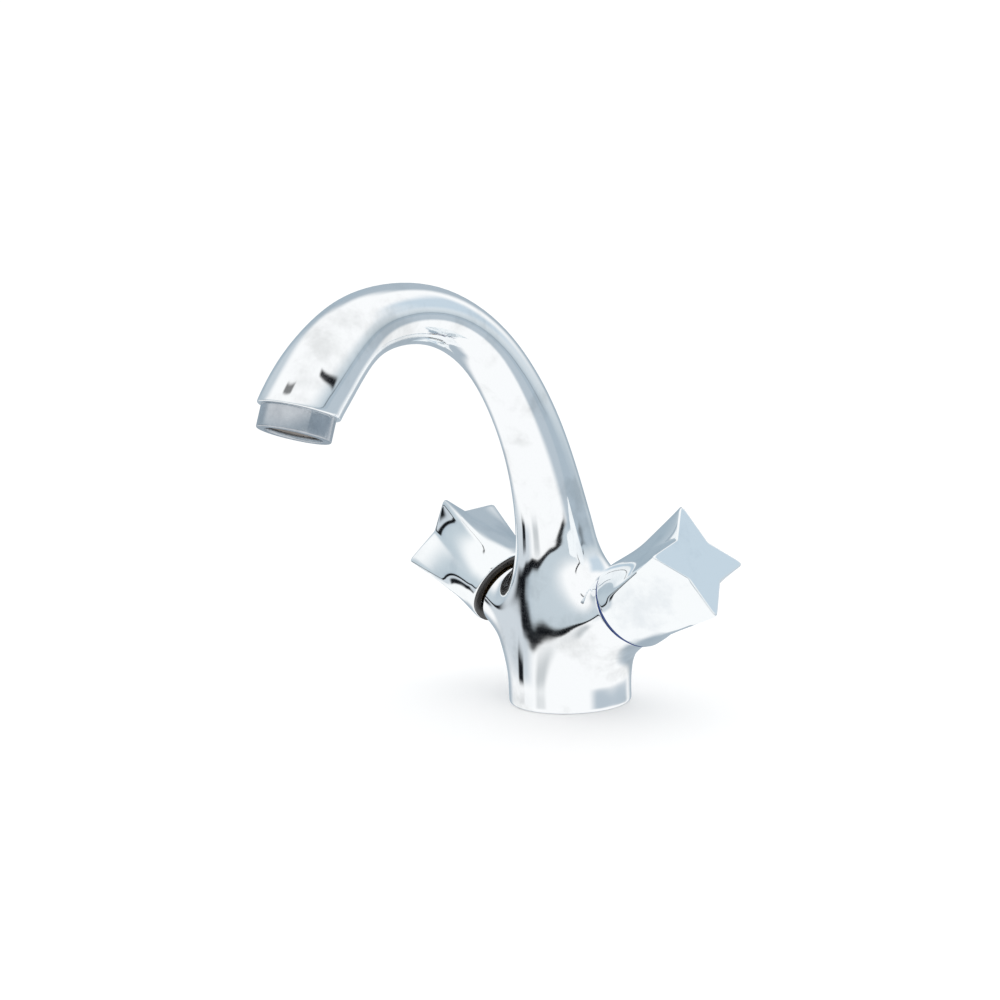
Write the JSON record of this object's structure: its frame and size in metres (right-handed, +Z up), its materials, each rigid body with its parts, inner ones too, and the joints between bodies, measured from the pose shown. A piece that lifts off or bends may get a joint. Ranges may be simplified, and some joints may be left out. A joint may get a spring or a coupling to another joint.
{
  "type": "basin mixer tap",
  "caption": "Deck-mounted basin mixer tap: cast body with arched fixed spout, angled star handles on quarter-turn ceramic valves, screw-in aerator.",
  "frame": {"origin": "centre of the base on the deck", "axes": "+Z up; the spout reaches towards -Y, the user; hot is on -X, the user's left, and cold on +X"},
  "size_m": [0.1605, 0.1675, 0.1703],
  "materials": {
    "chrome_body": "bright polished chrome plate on cast brass",
    "chrome_handle": "bright polished chrome plate on a hollow casting",
    "chrome_aerator": "chrome plate on turned brass, slightly duller than the body",
    "stainless_mesh": "woven stainless wire",
    "steel": "plain stainless steel",
    "brass": "turned brass, unplated",
    "ceramic": "lapped alumina ceramic",
    "white_plastic": "moulded acetal",
    "black_rubber": "moulded rubber",
    "blue_ring": "moulded blue plastic, cold",
    "dark_ring": "moulded near-black plastic, hot"
  },
  "bodies": {
    "tap_body": {"body_casting": "chrome_body", "base_gasket": "black_rubber", "aerator_housing": "chrome_aerator", "aerator_gasket": "black_rubber", "aerator_strainer": "white_plastic", "aerator_screen": "stainless_mesh", "hot_cartridge_body": "brass", "hot_flange_seal": "black_rubber", "hot_seat_seal": "black_rubber", "hot_fixed_disc": "ceramic", "cold_cartridge_body": "brass", "cold_flange_seal": "black_rubber", "cold_seat_seal": "black_rubber", "cold_fixed_disc": "ceramic"},
    "hot_handle_set": {"hot_handle": "chrome_handle", "hot_spline_bush": "white_plastic", "hot_grub_screw": "steel", "hot_spindle": "brass", "hot_slip_washer": "white_plastic", "hot_spindle_orings": "black_rubber", "hot_circlip": "steel", "hot_moving_disc": "ceramic", "hot_index_ring": "dark_ring"},
    "cold_handle_set": {"cold_handle": "chrome_handle", "cold_spline_bush": "white_plastic", "cold_grub_screw": "steel", "cold_spindle": "brass", "cold_slip_washer": "white_plastic", "cold_spindle_orings": "black_rubber", "cold_circlip": "steel", "cold_moving_disc": "ceramic", "cold_index_ring": "blue_ring"}
  },
  "joints": [
    {"name": "hot_handle_turn", "type": "hinge", "parent": "tap_body", "child": "hot_handle_set", "pos_m": [0, 0, 0.0208], "axis": [-0.8526, 0, 0.5225], "range_deg": [0, 90]},
    {"name": "cold_handle_turn", "type": "hinge", "parent": "tap_body", "child": "cold_handle_set", "pos_m": [0, 0, 0.0208], "axis": [0.8526, 0, 0.5225], "range_deg": [0, 90]}
  ]
}
